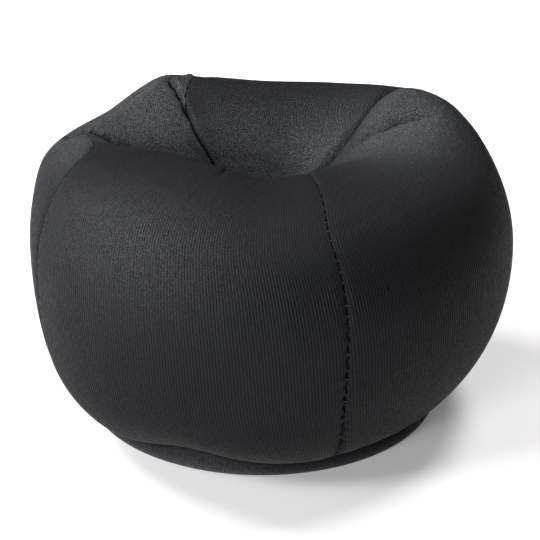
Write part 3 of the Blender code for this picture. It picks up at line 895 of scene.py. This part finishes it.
class Finish:
    """A material with a Principled shader, and one method that makes any other node."""

    def __init__(self, name, **constants):
        self.material = bpy.data.materials.new(name)
        self.material.use_nodes = True
        self.tree = self.material.node_tree
        self.shader = self.tree.nodes["Principled BSDF"]
        for socket, value in constants.items():
            self.shader.inputs[socket.replace("_", " ")].default_value = value

    def node(self, kind, settings, sockets):
        """Make a node of a kind: its settings first, a ramp's stops among them, then the values or
        links of its sockets by place or identifier. Its outputs come back as Values."""
        made = self.tree.nodes.new(kind)
        for setting, value in settings.items():
            if setting == "stops":
                stops = made.color_ramp.elements
                while len(stops) < len(value):
                    stops.new(1.0)
                for stop, (position, colour) in zip(stops, value):
                    stop.position, stop.color = position, (*colour, 1)
            else:
                setattr(made, setting, value)
        by_name = {socket.identifier: socket for socket in made.inputs}
        for place, value in sockets.items():
            socket = by_name[place] if isinstance(place, str) else made.inputs[place]
            if isinstance(value, Value):
                self.tree.links.new(value.socket, socket)
            else:
                socket.default_value = value
        return [Value(self, socket) for socket in made.outputs]

    def noise(self, place, scale, detail):
        """A value between 0 and 1 that wanders over the distance 1 / scale, in metres."""
        return self.node("ShaderNodeTexNoise", {}, {"Vector": place, "Scale": scale, "Detail": detail})[0]

    def set(self, socket, value):
        """Feed one socket of the shader from the network."""
        self.tree.links.new(value.socket, self.shader.inputs[socket])

    def set_relief(self, height, strength, distance):
        """Bend the shading normal as a relief of this height would."""
        self.set("Normal", self.node("ShaderNodeBump", {}, {"Height": height, "Strength": strength,
                                                             "Distance": distance})[0])


print("shader maths ready")

# %% [markdown]
# ## Black rib knit
#
# The cloth is a smooth synthetic yarn, dyed black: dark when seen straight on, with a broad soft
# highlight, and paler at a grazing angle, where the fibre ends catch the light. Each rib is a
# column of V-shaped loops. The ribs are modelled, and the loops, much smaller than a pixel deep,
# are left to a relief on the map of the weave. The yarn is made of many fine fibres, and odd ones
# among them glint, so a noise as fine as the yarn varies the gloss and the relief, and lightens the
# colour in specks, a painted glint. The colour is also darker in the grooves and between the loops,
# a painted shade, and paler where painted sheen is set.

# %% The knit's finish
def knit_finish(name):
    """Black knit. A loop's height is the absolute sine of pi times (course + 1.1 * the distance
    from the middle of the rib). Each loop has its own chance value, from its rib and its course.
    Where painted sheen is set the colour is paler, by its amount times a speckle, which is a fine noise cut off
    sharply."""
    finish = Finish(name, Specular_IOR_Level=0.13, Specular_Tint=(0.88, 0.92, 1.0, 1), Sheen_Weight=0.03,
                    Sheen_Roughness=0.35, Sheen_Tint=(0.90, 0.93, 1.0, 1))
    weave = finish.node("ShaderNodeUVMap", {"uv_map": "weave"}, {})[0]
    across, along, _ = finish.node("ShaderNodeSeparateXYZ", {}, {0: weave})
    rib = across.rounded()
    arm = abs(across - rib)
    course = along + arm * 1.1
    loop = abs((course * math.pi).sine())
    which = finish.node("ShaderNodeCombineXYZ", {}, {0: rib, 1: (course - 0.5).rounded()})[0]
    chance = finish.node("ShaderNodeTexWhiteNoise", {"noise_dimensions": "2D"}, {0: which})[0]
    place = finish.node("ShaderNodeTexCoord", {}, {})[3]
    fibre = finish.noise(place, 4200.0, 1.0)
    speck = finish.node("ShaderNodeValToRGB", {"stops": ((0.48, (0, 0, 0)), (0.64, (1, 1, 1)))},
                        {0: finish.noise(place, 4400.0, 0.0)})[0]
    patch = finish.noise(place, 90.0, 2.0)
    groove = finish.node("ShaderNodeValToRGB", {"stops": ((0.14, (0, 0, 0)), (0.40, (1, 1, 1)))}, {0: arm})[0]
    # Painted shade and glints: the colour is lighter at the tops of the loops and in specks, and darker in the
    # grooves between the ribs.
    shade = (loop * 0.3 + speck * 0.7).mixed((0.0030, 0.0031, 0.0034, 1), (0.0105, 0.0107, 0.0117, 1))
    plain = (groove * 0.7).mixed(shade, (0.0012, 0.0012, 0.0013, 1))
    # Painted sheen: where this attribute is set, the colour is lightened towards a pale grey, standing in for
    # sheen and highlights.
    nap = finish.node("ShaderNodeAttribute", {"attribute_name": "nap"}, {})[2]
    finish.set("Base Color", (nap * (speck * 0.85 + 0.15)).mixed(plain, (0.100, 0.104, 0.114, 1)))
    finish.set("Roughness", 0.33 + chance * 0.16 + fibre * 0.16 - speck * 0.08 + patch * 0.05 + groove * 0.15)
    finish.set_relief(loop * 0.22 + chance * 0.15 + fibre * 0.4 + speck * 0.25, 0.7, 0.00018)
    return finish.material


body_knit = knit_finish("black_rib_knit")
base_knit = knit_finish("black_base_knit")
for piece in gores:
    piece.data.materials.append(body_knit)
base_piece.data.materials.append(base_knit)
print("knit on", len(gores) + 1, "pieces")

# %% [markdown]
# ## Thread, board and beads
#
# The thread is a twisted black yarn: its strands are a slanting wave. The board is pressed grey
# fibre, speckled. The beads are white foam, and show as small cells.

# %% Small finishes
def thread_finish():
    """Dark yarn with a wave of strands as relief."""
    finish = Finish("black_thread", Base_Color=(0.008, 0.008, 0.009, 1), Roughness=0.5, Sheen_Weight=0.05)
    place = finish.node("ShaderNodeTexCoord", {}, {})[3]
    strand = finish.node("ShaderNodeTexWave", {}, {"Vector": place, "Scale": 1500.0, "Distortion": 1.5})[1]
    finish.set_relief(strand, 0.4, 0.00005)
    return finish.material


def board_finish():
    """Pressed grey board: a noise colours it and roughens its relief."""
    finish = Finish("grey_board", Roughness=0.85)
    grain = finish.noise(finish.node("ShaderNodeTexCoord", {}, {})[3], 900.0, 4.0)
    greys = ((0.35, (0.26, 0.235, 0.20)), (0.7, (0.40, 0.37, 0.32)))
    finish.set("Base Color", finish.node("ShaderNodeValToRGB", {"stops": greys}, {0: grain})[0])
    finish.set_relief(grain, 0.3, 0.0001)
    return finish.material


def bead_finish():
    """White foam beads: the cells of a Voronoi pattern, two millimetres wide, rounded as relief, and darker
    towards each cell's edge, a painted shade between the beads.
    """
    finish = Finish("white_beads", Roughness=0.6)
    place = finish.node("ShaderNodeTexCoord", {}, {})[3]
    cell = finish.node("ShaderNodeTexVoronoi", {}, {"Vector": place, "Scale": 480.0})[0]
    # Painted shade: each bead is darker towards its edge, where it meets the next.
    finish.set("Base Color", cell.mixed((0.88, 0.88, 0.86, 1), (0.62, 0.62, 0.60, 1)))
    finish.set_relief(1.0 - cell, 0.8, 0.0008)
    return finish.material


thread.data.materials.append(thread_finish())
filling.data.materials.append(bead_finish())
board = bpy.data.objects["base_board"]
board.data.materials.clear()
board.data.materials.append(board_finish())
print("materials:", len(bpy.data.materials))

# %% [markdown]
# ## Pieces and frame
#
# Each modelled piece stands for the solid that it was built round, which is then hidden, and all
# ride on the same body.

# %% Tie the pieces to the frame
for piece, node, fabric in [*zip(gores, gore_names, ["rib_knit"] * 4),
                            (base_piece, "base_panel", "base_knit"), (filling, "bead_fill", "beads")]:
    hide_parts(node)
    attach(piece, "root")
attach(thread, "root")

# %% [markdown]
# ## Studio
#
# The photograph was taken on white paper with soft light from many sides. Two lights stand at the
# front left, one low and one high, one stands low at the left, one behind it and one high at the
# back right, which keeps the shadow to the right pale. The paper also glows a little, like that
# of a light table. The powers were found by comparing patches of the render and the photograph.


# %% Floor and lights
def soft_light(name, azimuth, elevation, distance, size, power):
    """A square area light that looks at the middle of the stand from a direction in degrees."""
    turn, lift = math.radians(azimuth), math.radians(elevation)
    back = Vector((math.sin(turn) * math.cos(lift), -math.cos(turn) * math.cos(lift), math.sin(lift)))
    data = bpy.data.lights.new(name, "AREA")
    data.shape, data.size, data.energy = "SQUARE", size, power
    lamp = bpy.data.objects.new(name, data)
    lamp.location = Vector((0, 0, 0.035)) + distance * back
    lamp.rotation_euler = back.to_track_quat("Z", "Y").to_euler()
    bpy.context.scene.collection.objects.link(lamp)


side = 4.0
paper_corners = np.array([[-side, -side, 0], [side, -side, 0], [side, side, 0], [-side, side, 0]])
floor = mesh_object("studio_floor", paper_corners, [(0, 1, 2, 3)])
paper = Finish("white_paper", Base_Color=(0.96, 0.96, 0.96, 1), Roughness=0.9, Emission_Color=(1, 1, 1, 1),
               Emission_Strength=0.15)
floor.data.materials.append(paper.material)
soft_light("front left, low", -32, 13, 1.2, 0.34, 10.5)
soft_light("front left, high", -60, 36, 1.2, 0.34, 7.0)
soft_light("left", -90, 13, 1.2, 0.34, 4.5)
soft_light("back left", -120, 36, 1.2, 0.34, 11.0)
soft_light("back right", 130, 62, 1.2, 0.34, 8.5)

scene = bpy.context.scene
scene.world = bpy.data.worlds.new("white_room")
scene.world.use_nodes = True
scene.world.node_tree.nodes["Background"].inputs["Color"].default_value = (1, 1, 1, 1)
scene.world.node_tree.nodes["Background"].inputs["Strength"].default_value = 0.06
scene.view_settings.view_transform = "Standard"
print("lights:", [lamp.name for lamp in bpy.data.lights])

# %% [markdown]
# ## Camera
#
# The flattened ellipse of the base shows that the camera looks down by 25 degrees. The outline
# fits best from 650 mm away with a long lens. The lens is shifted a little, since the stand isn't
# quite in the middle of the photograph.

# %% Camera
image_side = 540
focal_pixels = 2600.0
target_column, target_row = 262.0, 272.0   # of the photograph, where the camera's target shows
elevation, distance, target_height = math.radians(25.3), 0.650, 0.034
lens = bpy.data.cameras.new("camera")
lens.sensor_width = 36.0
lens.lens = lens.sensor_width * focal_pixels / image_side
lens.shift_x = (image_side / 2 - target_column) / image_side
lens.shift_y = (target_row - image_side / 2) / image_side
back = Vector((0, -math.cos(elevation), math.sin(elevation)))
camera = bpy.data.objects.new("camera", lens)
camera.location = Vector((0, 0, target_height)) + distance * back
camera.rotation_euler = back.to_track_quat("Z", "Y").to_euler()
scene.collection.objects.link(camera)
scene.camera = camera
print(f"camera {1000 * distance:.0f} mm away, {lens.lens:.1f} mm lens")
